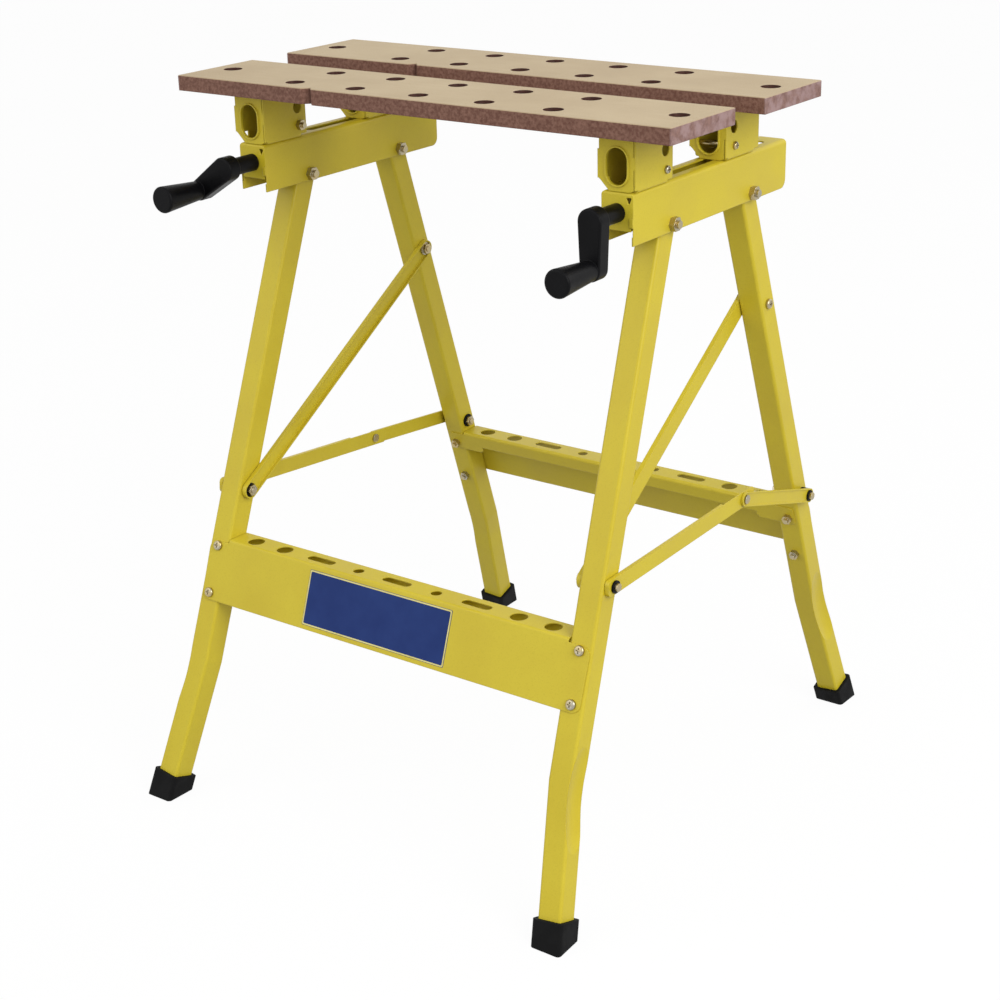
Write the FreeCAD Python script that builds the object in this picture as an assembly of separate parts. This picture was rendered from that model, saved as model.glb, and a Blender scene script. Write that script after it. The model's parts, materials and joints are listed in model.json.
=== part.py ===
"""Folding workbench with a twin-screw vice top: every piece as its own solid, in millimetres.

x runs along the jaw boards, y to the rear and z up, with the floor at z = 0.
Pieces are laid out from the front face of the front board and are moved at
the end, so that the origin lies on the floor under the middle of the bench.
"""
import FreeCAD, Part
import math
import os

V = FreeCAD.Vector

# Jaw boards
board_length = 605.0
board_width = 114.0
board_thickness = 16.0
board_edge = 0.7
jaw_gap = 57.0
top_height = 780.0
dog_radius = 10.0
dog_pitch = 80.0
dog_row_offset = 32.0
dog_end_inset = 25.5
dog_columns = 5
groove_place = -124.0
groove_width = 14.0
groove_depth = 7.0

# Rails: folded channels, open below, that carry the jaws and the legs
rail_inset = 73.5
rail_width = 35.0
rail_height = 50.0
rail_sheet = 1.5
rail_bend = 3.0
rail_front = 27.0
rail_length = 294.0
rail_tail_round = 9.0
rail_nose_round = 3.0
flap_height = 36.5
flap_relief_width = 6.5
flap_relief_height = 7.5
flap_relief_round = 1.1
flap_notch = 2.5
flap_tab_width = 4.0
flap_tab_height = 9.0
flap_tab_rise = 4.0
flap_tab_proud = 0.9
slot_width = 12.0
slot_front_inset = 86.0
slot_rear_inset = 22.0
front_pivot_inset = 70.0
pivot_spacing = 154.0
pivot_rise = 7.5

# Jaw brackets: folded boxes between the rails and the boards
bracket_width = 40.0
bracket_depth = 65.0
bracket_height = 54.0
bracket_sheet = 1.5
bracket_bend = 1.0
bracket_chamfer = 11.0
bracket_chamfer_round = 5.0
notch_depths = {"front": 16.0, "rear": 9.0}
bracket_ear_height = 27.0
bracket_ear_proud = 1.6
bracket_heel_length = 9.0
bracket_heel_rise = 3.0
corner_relief = 2.5
corner_relief_run = 5.0
bracket_setback = 21.0
window_width = 23.0
window_height = 35.0
window_lip = 1.8
window_rise = 6.0
top_flange = 12.0
access_radius = 6.5
access_setbacks = {"front": 52.5, "rear": 15.5}
access_drop = 22.0
cross_lag = 1.5
cross_rise = 13.0
seam_gap = 0.8
seam_tab_height = 12.0
slide_gap = 0.3

# Screws, cranks and jaw nuts
screw_drop = 19.5
screw_radius = 5.0
screw_tail_inset = 14.0
screw_head_depth = 25.0
bush_radius = 7.0
bush_flange_radius = 9.0
bush_flange = 2.5
bush_proud = 0.3
collar_radius = 8.0
collar_length = 5.0
crank_gap = 0.4
hub_radius = 9.0
hub_length = 31.0
arm_thickness = 16.5
arm_length = 45.0
arm_boss_radius = 13.0
arm_end_radius = 11.0
arm_edge = 2.0
grip_length = 53.0
grip_root_radius = 9.5
grip_end_radius = 14.2
grip_edge = 2.5
pin_radius = 2.0
pin_depth = 12.0
pin_cover = 1.5
left_crank_turn = 55.6
nut_width = 26.0
nut_length = 24.0
nut_floor = 2.3
nut_setback = 30.0
neck_length = 20.0

# Legs: square tubes that lean fore and aft, splay a little and kick out near the floor
leg_size = 27.0
leg_wall = 1.5
leg_corner = 3.0
leg_top = 8.0
leg_top_round = 7.0
front_lean_share = 0.36
rear_lean_share = 0.34
front_splay_share = 0.028
rear_splay_share = 0.019
front_kick_share = 0.125
rear_kick_share = 0.095
bend_height = 150.0
dent_length = 84.0
dent_depth = 5.0
dent_round = 30.0
foot_wall = 4.0
foot_sole = 6.0
foot_height = 24.0
foot_round = 4.0

# Trays: folded sheets bolted across the legs
tray_height = 285.5
tray_sheet = 1.2
tray_bend = 2.0
tray_plate = 70.0
tray_corner = 10.0
tray_overhang = 1.5
tray_end_gap = 1.0
lip_height = 18.0
ear_height = 26.0
ear_inset = 26.0
ear_margin = 8.0
upper_bolt_drop = 8.5
lower_bolt_drop = 62.0
tray_hole_lead = 1.5
round_hole_radius = 9.3
small_hole_radius = 6.0
slot_hole_length = 36.5
slot_hole_width = 11.0
round_hole_shares = (0.692, 0.878)
slot_hole_shares = (0.0, 0.46)
small_hole_shares = (0.23,)

# Braces and folding stays: pressed strips with a raised rim
brace_on_front_leg = 352.0
brace_on_rear_leg = 134.0
stay_on_rear_leg = 389.0
strip_sheet = 1.5
brace_rim = 5.0
stay_rim = 4.5
link_rim = 2.5
brace_width = 19.0
brace_end = 10.0
stay_width = 17.0
stay_end = 11.0
stay_tail = 20.0
stay_corner = 5.0
stay_arm_length = 254.0
link_width = 16.0
link_end = 9.0
knuckle_rises = {"left": 1.0, "right": 30.0}
rim_cut_back = 43.0
layer_gap = 0.4
strip_seat = 0.6
brace_stand_off = 1.2
strip_end_flat = 0.2

# Fasteners
pivot_bolt_radius = 4.0
pivot_bolt_across = 13.0
pivot_head = 5.0
pivot_nut = 6.0
brace_bolt_radius = 3.5
brace_bolt_across = 11.0
brace_head = 3.0
brace_nut = 4.0
brace_tail = 1.5
tray_bolt_radius = 3.0
tray_bolt_across = 10.0
cap_head_radius = 4.2
pan_radius = 5.5
cross_pan_radius = 4.0
pan_height = 3.4
pan_round = 2.0
pan_cross_length = 6.0
pan_cross_width = 1.3
pan_cross_depth = 1.8
tray_nut = 5.0
bolt_tail = 3.0
washer_radius = 8.0
washer_thickness = 1.8
spacer_radius = 9.0
spacer_thickness = 1.8
rivet_radius = 3.0
rivet_head_radius = 5.0
rivet_head = 2.0
board_screw_radius = 2.0
board_screw_length = 13.0
board_screw_head_radius = 3.4
board_screw_head = 2.5
board_screw_inset = 14.0
neck_screw_radius = 3.0
neck_screw_across = 10.0
neck_screw_head = 4.0
neck_screw_length = 14.0
neck_nut = 5.0
fit_gap = 0.1
pin_gap = 0.05
overrun = 5.0

# Places that follow from the sizes above
tiny = 1e-6
rail_centre = board_length / 2 - rail_inset
board_bottom = top_height - board_thickness
rear_board_front = board_width + jaw_gap
rail_top = board_bottom - bracket_height
rail_bottom = rail_top - rail_height
rail_rear = rail_front + rail_length
screw_height = rail_top - screw_drop
pivot_height = rail_bottom + pivot_rise
front_pivot = rail_front + front_pivot_inset
rear_pivot = front_pivot + pivot_spacing
bracket_fronts = {"front": rail_front, "rear": rear_board_front + bracket_setback}
bracket_bottoms = {"front": rail_top, "rear": rail_top + slide_gap}
nut_middle = bracket_fronts["rear"] + nut_setback
leg_half = leg_size / 2
foot_half = leg_half + foot_wall
hub_front = rail_front - crank_gap - hub_length
arm_front = hub_front - arm_thickness
grip_front = arm_front - grip_length
reach = top_height + board_length


# Plain shapes
def point(axis, a, b, depth):
    """Point with plane coordinates a and b, at a depth along the named axis."""
    return {"x": V(depth, a, b), "y": V(a, depth, b), "z": V(a, b, depth)}[axis]


def outline(points, radii, axis):
    """Closed wire through plane points, with each corner rounded by its radius."""
    if not isinstance(radii, (list, tuple)):
        radii = [radii] * len(points)
    corners = [point(axis, a, b, 0) for a, b in points]
    edges = []
    starts = []
    ends = []
    for index, corner in enumerate(corners):
        back = corners[index - 1] - corner
        ahead = corners[(index + 1) % len(corners)] - corner
        back.normalize()
        ahead.normalize()
        half_angle = back.getAngle(ahead) / 2
        run = radii[index] / math.tan(half_angle)
        starts.append(corner + back * run)
        ends.append(corner + ahead * run)
        if radii[index] > 0:
            middle = back + ahead
            middle.normalize()
            sagitta = radii[index] / math.sin(half_angle) - radii[index]
            edges.append(Part.Arc(starts[-1], corner + middle * sagitta, ends[-1]).toShape())
    for index, end in enumerate(ends):
        start = starts[(index + 1) % len(starts)]
        if end.distanceToPoint(start) > tiny:
            edges.append(Part.makeLine(end, start))
    return Part.Wire(Part.__sortEdges__(edges))


def slab(points, radii, axis, low, high):
    """Prism on a rounded outline, from low to high along the axis."""
    face = Part.Face(outline(points, radii, axis))
    face.translate(point(axis, 0, 0, low))
    return face.extrude(point(axis, 0, 0, high - low))


def rectangle(a_low, a_high, b_low, b_high):
    """Corner points of a rectangle in a plane."""
    return [(a_low, b_low), (a_high, b_low), (a_high, b_high), (a_low, b_high)]


def box(x_low, x_high, y_low, y_high, z_low, z_high):
    """Box between two corners."""
    return slab(rectangle(x_low, x_high, y_low, y_high), 0, "z", z_low, z_high)


def bar(axis, a, b, radius, low, high):
    """Round bar along the axis."""
    return Part.makeCylinder(radius, high - low, point(axis, a, b, low), point(axis, 0, 0, 1))


def ring(axis, a, b, radius, hole, low, high):
    """Washer or sleeve along the axis."""
    return bar(axis, a, b, radius, low, high).cut(bar(axis, a, b, hole, low - overrun, high + overrun))


def hexagon(axis, a, b, across, low, high):
    """Hexagonal bar, measured across its flats."""
    corner = across / math.sqrt(3)
    angles = [math.radians(60 * step) for step in range(6)]
    points = [(a + corner * math.cos(turn), b + corner * math.sin(turn)) for turn in angles]
    return slab(points, 0, axis, low, high)


def hex_nut(axis, a, b, across, hole, low, high):
    """Nut with a plain bore."""
    return hexagon(axis, a, b, across, low, high).cut(bar(axis, a, b, hole, low - overrun, high + overrun))


def pan_head(axis, a, b, radius, low):
    """Round screw head with a cross recess, on the high side of its seat."""
    high = low + pan_height
    head = bar(axis, a, b, radius, low, high)
    top = point(axis, a, b, high)
    head = head.makeFillet(pan_round, [edge for edge in head.Edges
                                       if edge.CenterOfMass.distanceToPoint(top) < tiny])
    half_long = pan_cross_length / 2
    half_wide = pan_cross_width / 2
    sides = ((half_long, half_wide), (half_wide, half_long))
    recess = [slab(rectangle(a - across, a + across, b - along, b + along), 0, axis,
                   high - pan_cross_depth, high + overrun) for across, along in sides]
    return head.cut(recess)


def offset_path(points, shift):
    """Open path moved to its left by a shift, with mitred corners."""
    normals = []
    for (a0, b0), (a1, b1) in zip(points, points[1:]):
        length = math.hypot(a1 - a0, b1 - b0)
        normals.append(((b0 - b1) / length, (a1 - a0) / length))
    moved = []
    for index, (a, b) in enumerate(points):
        before = normals[max(index - 1, 0)]
        after = normals[min(index, len(normals) - 1)]
        spread = shift / (1 + before[0] * after[0] + before[1] * after[1])
        moved.append((a + (before[0] + after[0]) * spread, b + (before[1] + after[1]) * spread))
    return moved


def bent_sheet(points, thickness, bend, axis, low, high):
    """Sheet folded along a path of its mid-line and drawn out along the axis."""
    left_radii = [0]
    right_radii = [0]
    for (a0, b0), (a1, b1), (a2, b2) in zip(points, points[1:], points[2:]):
        turns_left = (a1 - a0) * (b2 - b1) - (b1 - b0) * (a2 - a1) > 0
        left_radii.append(bend if turns_left else bend + thickness)
        right_radii.append(bend + thickness if turns_left else bend)
    left_radii.append(0)
    right_radii.append(0)
    left = offset_path(points, thickness / 2)
    right = offset_path(points, -thickness / 2)
    return slab(left + right[::-1], left_radii + right_radii[::-1], axis, low, high)


def square_run(path, half, corner):
    """Bar of rounded square section along a path in the plane of x and z."""
    stations = [V(x, 0, z) for x, z in path]
    profile = outline(rectangle(-half, half, -half, half), corner, "z")
    profile.Placement = FreeCAD.Placement(
        stations[0], FreeCAD.Rotation(V(0, 0, 1), stations[1] - stations[0]))
    return Part.makePolygon(stations).makePipeShell([profile], True, False, 1)


def mirrored(shape):
    """The same piece on the other side of the bench."""
    return shape.mirror(V(0, 0, 0), V(1, 0, 0))


def moved(shape, x, y, z):
    """Copy of a shape, shifted."""
    copy = shape.copy()
    copy.translate(V(x, y, z))
    return copy


def joined(shapes):
    """One solid from shapes that touch or overlap."""
    return shapes[0].multiFuse(shapes[1:]).removeSplitter()


# A pair of legs with its tray hangs from one pivot line in the rails
class LegFrame:
    """Sizes and places of one pair of legs, in a frame that stands upright at its pivot."""

    def __init__(self, pivot, lean_share, splay_share, kick_share, plate_side):
        self.pivot = pivot
        self.plate_side = plate_side
        self.lean = plate_side * math.atan(lean_share)
        self.cosine = math.cos(self.lean)
        self.splay = splay_share
        self.kick = kick_share
        self.knee = (bend_height - pivot_height) / self.cosine
        self.floor = -pivot_height / self.cosine

    def centre(self, z):
        """Middle of the right leg at an upright height z below the pivot."""
        straight = rail_centre - self.splay * max(z, self.knee)
        return straight + self.kick * max(self.knee - z, 0)

    def stand(self, shape):
        """Lean an upright shape and hang it from the pivot."""
        copy = shape.copy()
        copy.rotate(V(0, 0, 0), V(1, 0, 0), math.degrees(self.lean))
        copy.translate(V(0, self.pivot, pivot_height))
        return copy

    def place(self, y, z):
        """Bench coordinates y and z of an upright point."""
        turned_y = y * self.cosine - z * math.sin(self.lean)
        turned_z = y * math.sin(self.lean) + z * self.cosine
        return self.pivot + turned_y, pivot_height + turned_z

    def height_at(self, y, bench_z):
        """Upright z of the point at upright y that lies at a bench height."""
        return (bench_z - pivot_height - y * math.sin(self.lean)) / self.cosine

    def run(self, low, high, half, corner):
        """Leaning bar of square section along the right leg."""
        stations = [low, high]
        if low < self.knee < high:
            stations = [low, self.knee, high]
        path = [(self.centre(z), z) for z in stations]
        return self.stand(square_run(path, half, corner))

    def drill(self, y, z, radius, low, high):
        """Cross bar along x at an upright point, for holes, bolts and washers."""
        bench_y, bench_z = self.place(y, z)
        return bar("x", bench_y, bench_z, radius, low, high)


front_frame = LegFrame(front_pivot, front_lean_share, front_splay_share, front_kick_share, -1)
rear_frame = LegFrame(rear_pivot, rear_lean_share, rear_splay_share, rear_kick_share, 1)

front_toe, _ = front_frame.place(-foot_half, front_frame.height_at(-foot_half, 0))
rear_heel, _ = rear_frame.place(foot_half, rear_frame.height_at(foot_half, 0))
origin_shift = -(front_toe + rear_heel) / 2

brace_low = front_frame.place(0, -brace_on_front_leg)
brace_high = rear_frame.place(0, -brace_on_rear_leg)
stay_rear = rear_frame.place(0, -stay_on_rear_leg)
front_leg_out = front_frame.centre(-brace_on_front_leg) + leg_half
front_leg_in = front_frame.centre(-brace_on_front_leg) - leg_half
brace_leg_out = rear_frame.centre(-brace_on_rear_leg) + leg_half
brace_leg_in = rear_frame.centre(-brace_on_rear_leg) - leg_half
stay_leg_out = rear_frame.centre(-stay_on_rear_leg) + leg_half
stay_leg_in = rear_frame.centre(-stay_on_rear_leg) - leg_half

# Layers of the strips, measured along x on the right side; the rims of both arms point to the bench's left
rim_ways = {"left": 1, "right": -1}
arm_seat = front_leg_out + strip_seat
arm_flats = {"left": arm_seat, "right": arm_seat + stay_rim}
arm_faces = {"left": arm_seat + strip_sheet, "right": arm_seat + stay_rim}
link_seats = {side: face + layer_gap for side, face in arm_faces.items()}
link_faces = {side: seat + strip_sheet for side, seat in link_seats.items()}
brace_low_seat = front_leg_in - brace_stand_off
brace_high_seat = brace_leg_in - strip_seat


def knuckle(side):
    """Where a stay's arm and link meet, raised above the line between their far pivots."""
    span = math.hypot(stay_rear[0] - brace_low[0], stay_rear[1] - brace_low[1])
    along = ((stay_rear[0] - brace_low[0]) / span, (stay_rear[1] - brace_low[1]) / span)
    rise = knuckle_rises[side]
    run = math.sqrt(stay_arm_length ** 2 - rise ** 2)
    return (brace_low[0] + along[0] * run - along[1] * rise,
            brace_low[1] + along[1] * run + along[0] * rise)


def link_length(side):
    """Distance from a stay's knuckle to its pivot on the rear leg."""
    y, z = knuckle(side)
    return math.hypot(stay_rear[0] - y, stay_rear[1] - z)


# Jaw boards
def screw_places(jaw):
    """Places in plan of the wood screws through the flanges of one jaw's brackets."""
    front = bracket_fronts[jaw]
    places = []
    for centre in (-rail_centre, rail_centre):
        for side in (-1, 1):
            x = centre + side * (bracket_width / 2 - top_flange / 2)
            places += [(x, front + board_screw_inset), (x, front + bracket_depth - board_screw_inset)]
    return places


def jaw_board(jaw, front):
    """Board with a vee groove in its front edge, dog holes and pilot holes for its screws."""
    half = board_length / 2
    points = rectangle(-half, half, front, front + board_width)
    groove = [(groove_place - groove_width / 2, front),
              (groove_place, front + groove_depth),
              (groove_place + groove_width / 2, front)]
    board = slab(points[:1] + groove + points[1:], 0, "z", board_bottom, top_height)
    rims = [edge for edge in board.Edges if edge.BoundBox.ZMin > top_height - tiny]
    board = board.makeChamfer(board_edge, rims)
    middle = front + board_width / 2
    places = [(side * (half - dog_end_inset), middle) for side in (-1, 1)]
    for column in range(dog_columns):
        x = (column - (dog_columns - 1) / 2) * dog_pitch
        places += [(x, middle - dog_row_offset), (x, middle + dog_row_offset)]
    holes = [bar("z", x, y, dog_radius, board_bottom - overrun, top_height + overrun) for x, y in places]
    pilot_top = board_bottom - bracket_sheet + board_screw_length + pin_gap
    for x, y in screw_places(jaw):
        holes.append(bar("z", x, y, board_screw_radius + pin_gap, board_bottom - overrun, pilot_top))
    return board.cut(holes)


def board_screws(jaw):
    """Wood screws that hold a board down on the flanges of its two brackets."""
    screws = []
    flange_bottom = board_bottom - bracket_sheet
    for x, y in screw_places(jaw):
        head = bar("z", x, y, board_screw_head_radius, flange_bottom - board_screw_head, flange_bottom)
        shank = bar("z", x, y, board_screw_radius, flange_bottom, flange_bottom + board_screw_length)
        screws.append(joined([head, shank]))
    return screws


# Rails
def rail():
    """Right rail: a channel with a folded front flap, a slotted top and pivot holes."""
    half = rail_width / 2 - rail_sheet / 2
    top = rail_top - rail_sheet / 2
    path = [(rail_centre + half, rail_bottom), (rail_centre + half, top),
            (rail_centre - half, top), (rail_centre - half, rail_bottom)]
    channel = bent_sheet(path, rail_sheet, rail_bend, "y", rail_front, rail_rear)
    side_view = slab(rectangle(rail_front, rail_rear, rail_bottom, rail_top),
                     [0, rail_tail_round, 0, 0], "x", 0, rail_centre + rail_width)
    channel = channel.common(side_view)
    inner = rail_width / 2
    corner = rail_bend + rail_sheet
    flap = slab(rectangle(rail_centre - inner, rail_centre + inner, rail_top - flap_height, rail_top),
                [0, 0, corner, corner], "y", rail_front, rail_front + rail_sheet)
    tab_low = rail_top - flap_height + flap_tab_rise
    tabs = [slab(rectangle(rail_centre + side * inner - flap_tab_width / 2 - side * flap_tab_width / 2,
                           rail_centre + side * inner + flap_tab_width / 2 - side * flap_tab_width / 2,
                           tab_low, tab_low + flap_tab_height),
                 0, "y", rail_front - flap_tab_proud, rail_front) for side in (-1, 1)]
    body = joined([channel, flap] + tabs)
    nose = box(rail_centre - rail_width, rail_centre + rail_width, rail_front - overrun,
               rail_front + rail_nose_round, rail_top - rail_nose_round, rail_top + overrun)
    nose = nose.cut(bar("x", rail_front + rail_nose_round, rail_top - rail_nose_round, rail_nose_round,
                        rail_centre - reach, rail_centre + reach))
    cuts = [nose, bar("y", rail_centre, screw_height, bush_radius + pin_gap, rail_front - overrun,
                      rail_front + rail_sheet + overrun)]
    relief_right = rail_centre + rail_width / 2 - rail_sheet
    relief_top = rail_top - rail_sheet - rail_bend
    relief = [(relief_right, relief_top), (relief_right - flap_relief_width, relief_top),
              (relief_right - flap_relief_width / 2, relief_top - flap_relief_height)]
    cuts.append(slab(relief, flap_relief_round, "y", rail_front - overrun,
                     rail_front + rail_sheet + overrun))
    for side in (-1, 1):
        x = rail_centre + side * (rail_width / 2 - rail_sheet)
        notch = rectangle(x - flap_notch / 2, x + flap_notch / 2,
                          rail_top - flap_height - overrun, tab_low)
        cuts.append(slab(notch, 0, "y", rail_front - overrun, rail_front + rail_sheet))
    slot_points = rectangle(rail_centre - slot_width / 2, rail_centre + slot_width / 2,
                            rail_front + slot_front_inset, rail_rear - slot_rear_inset)
    cuts.append(slab(slot_points, slot_width / 2, "z", rail_top - rail_sheet - overrun, rail_top + overrun))
    for pivot in (front_pivot, rear_pivot):
        cuts.append(bar("x", pivot, pivot_height, pivot_bolt_radius + pin_gap,
                        rail_centre - rail_width, rail_centre + rail_width))
    cuts.append(bar("z", rail_centre, bracket_fronts["front"] + nut_setback, neck_screw_radius + pin_gap,
                    rail_top - rail_sheet - overrun, rail_top + overrun))
    return body.cut(cuts)


def pivot_bolts():
    """Leg pivot bolts with their nuts, four of each, all with the nut on the right."""
    solids = []
    for centre in (-rail_centre, rail_centre):
        left = centre - rail_width / 2
        right = centre + rail_width / 2
        for pivot in (front_pivot, rear_pivot):
            head = hexagon("x", pivot, pivot_height, pivot_bolt_across, left - pivot_head, left)
            shank = bar("x", pivot, pivot_height, pivot_bolt_radius, left, right + pivot_nut + bolt_tail)
            nut = hex_nut("x", pivot, pivot_height, pivot_bolt_across, pivot_bolt_radius + pin_gap,
                          right, right + pivot_nut)
            solids += [joined([head, shank]), nut]
    return solids


def pivot_spacers():
    """Nylon washers that centre each leg between the walls of its rail."""
    inside = rail_width / 2 - rail_sheet
    solids = []
    for pivot in (front_pivot, rear_pivot):
        for low in (rail_centre - inside, rail_centre + inside - spacer_thickness):
            washer = ring("x", pivot, pivot_height, spacer_radius, pivot_bolt_radius + pin_gap,
                          low, low + spacer_thickness)
            washer = washer.common(box(0, reach, -reach, reach, rail_bottom, rail_top))
            solids += [washer, mirrored(washer)]
    return solids


# Brackets
def bracket(jaw, centre):
    """Folded box bracket with a lipped window in its front and flanges under the board."""
    front = bracket_fronts[jaw]
    bottom = bracket_bottoms[jaw]
    half = bracket_width / 2
    mid = half - bracket_sheet / 2
    top = board_bottom - bracket_sheet / 2
    floor = bottom + bracket_sheet / 2
    path = [(centre + half - top_flange, top), (centre + mid, top), (centre + mid, floor),
            (centre - mid, floor), (centre - mid, top), (centre - half + top_flange, top)]
    body = bent_sheet(path, bracket_sheet, bracket_bend, "y", front, front + bracket_depth)
    face_points = rectangle(centre - half, centre + half, bottom, board_bottom)
    rear = front + bracket_depth
    face = slab(face_points, 0, "y", front, front + bracket_sheet)
    back = slab(face_points, 0, "y", rear - bracket_sheet, rear)
    ear_low = bottom + bracket_chamfer
    ear = box(centre - half - bracket_ear_proud, centre - half, front, front + bracket_sheet,
              ear_low, ear_low + bracket_ear_height)
    window_low = bottom + window_rise
    window = rectangle(centre - window_width / 2, centre + window_width / 2,
                       window_low, window_low + window_height)
    rim = rectangle(centre - window_width / 2 - bracket_sheet, centre + window_width / 2 + bracket_sheet,
                    window_low - bracket_sheet, window_low + window_height + bracket_sheet)
    lip = slab(rim, window_width / 2 + bracket_sheet, "y", front - window_lip, front + bracket_sheet)
    body = joined([body, face, back, ear, lip])
    cuts = [slab(window, window_width / 2, "y", front - window_lip - overrun,
                 front + bracket_sheet + overrun)]
    chamfer = [(centre - half - overrun, bottom - overrun),
               (centre - half + bracket_chamfer, bottom - overrun),
               (centre - half + bracket_chamfer, bottom),
               (centre - half, bottom + bracket_chamfer),
               (centre - half - overrun, bottom + bracket_chamfer)]
    chamfer_rounds = [0, 0, bracket_chamfer_round, bracket_chamfer_round, 0]
    cuts.append(slab(chamfer, chamfer_rounds, "y", front - overrun, front + notch_depths[jaw]))
    seam = centre + half - bracket_sheet
    middle = bottom + bracket_height / 2
    for low, high in ((bottom - overrun, middle - seam_tab_height / 2),
                      (middle + seam_tab_height / 2, board_bottom + overrun)):
        cuts.append(box(seam - seam_gap, seam, front - overrun, front + bracket_sheet, low, high))
    relief = [(seam - corner_relief_run, bottom), (seam + bracket_sheet + overrun, bottom),
              (seam + bracket_sheet + overrun, bottom + corner_relief), (seam, bottom + corner_relief)]
    cuts.append(slab(relief, 0, "y", front - overrun, front + bracket_sheet + corner_relief))
    cuts.append(box(centre - half - overrun, centre + half + overrun, rear - bracket_heel_length,
                    rear + overrun, bottom - overrun, bottom + bracket_heel_rise))
    access_y = front + access_setbacks[jaw]
    cuts.append(bar("x", access_y, board_bottom - access_drop, access_radius,
                    centre - half - overrun, centre + half + overrun))
    cuts.append(bar("x", access_y + cross_lag, bottom + cross_rise, tray_bolt_radius + pin_gap,
                    centre - half - overrun, centre + half + overrun))
    cuts.append(bar("z", centre, front + nut_setback, neck_screw_radius + pin_gap,
                    bottom - overrun, bottom + bracket_sheet + overrun))
    for x, y in screw_places(jaw):
        cuts.append(bar("z", x, y, board_screw_radius + pin_gap,
                        board_bottom - bracket_sheet - overrun, board_bottom + overrun))
    return body.cut(cuts)


def cross_bolts(jaw):
    """Bolt with its nut through the side walls of each bracket of one jaw."""
    y = bracket_fronts[jaw] + access_setbacks[jaw] + cross_lag
    z = bracket_bottoms[jaw] + cross_rise
    half = bracket_width / 2
    head = pan_head("x", y, z, cross_pan_radius, rail_centre + half)
    shank = bar("x", y, z, tray_bolt_radius, rail_centre - half - tray_nut - bolt_tail, rail_centre + half)
    bolt = joined([head, shank])
    nut = hex_nut("x", y, z, tray_bolt_across, tray_bolt_radius + pin_gap,
                  rail_centre - half - tray_nut, rail_centre - half)
    return [bolt, nut, mirrored(bolt), mirrored(nut)]


def holding_screw(jaw):
    """Screw down through the floor of a right bracket."""
    y = bracket_fronts[jaw] + nut_setback
    head_low = bracket_bottoms[jaw] + bracket_sheet
    head = hexagon("z", rail_centre, y, neck_screw_across, head_low, head_low + neck_screw_head)
    shank = bar("z", rail_centre, y, neck_screw_radius, head_low - neck_screw_length, head_low)
    return joined([head, shank])


def holding_nut():
    """Nut under the top of the right rail, on the screw of the fixed bracket."""
    y = bracket_fronts["front"] + nut_setback
    high = rail_top - rail_sheet
    return hex_nut("z", rail_centre, y, neck_screw_across, neck_screw_radius + pin_gap,
                   high - neck_nut, high)


# Screws, cranks and jaw nuts
def jaw_nut():
    """Right nut block under the rear jaw, with a neck that runs in the slot of the rail."""
    bottom = bracket_bottoms["rear"]
    low = screw_height - screw_radius - nut_floor
    high = rail_top - rail_sheet - slide_gap
    block = box(rail_centre - nut_width / 2, rail_centre + nut_width / 2,
                nut_middle - nut_length / 2, nut_middle + nut_length / 2, low, high)
    neck = box(rail_centre - slot_width / 2 + slide_gap, rail_centre + slot_width / 2 - slide_gap,
               nut_middle - neck_length / 2, nut_middle + neck_length / 2, high - overrun, bottom)
    bore = bar("y", rail_centre, screw_height, screw_radius + pin_gap,
               nut_middle - nut_length, nut_middle + nut_length)
    depth = neck_screw_length - bracket_sheet
    hole = bar("z", rail_centre, nut_middle, neck_screw_radius + pin_gap, bottom - depth, bottom + overrun)
    return joined([block, neck]).cut([bore, hole])


def lead_screw():
    """Right lead screw, plain along its thread, with a cross hole for the crank pin."""
    front = hub_front + hub_length - screw_head_depth
    body = bar("y", rail_centre, screw_height, screw_radius, front, rail_rear - screw_tail_inset)
    pin_y = hub_front + pin_depth
    return body.cut(bar("x", pin_y, screw_height, pin_radius + pin_gap,
                        rail_centre - hub_radius, rail_centre + hub_radius))


def screw_bush():
    """Flanged bush in the flap of the right rail."""
    back = rail_front + rail_sheet
    sleeve = bar("y", rail_centre, screw_height, bush_radius, rail_front - bush_proud, back)
    flange = bar("y", rail_centre, screw_height, bush_flange_radius, back, back + bush_flange)
    hole = bar("y", rail_centre, screw_height, screw_radius + fit_gap, rail_front - overrun, rail_rear)
    return joined([sleeve, flange]).cut(hole)


def thrust_collar():
    """Collar on the right screw, behind the bush."""
    low = rail_front + rail_sheet + bush_flange + slide_gap
    return ring("y", rail_centre, screw_height, collar_radius, screw_radius + pin_gap,
                low, low + collar_length)


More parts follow.
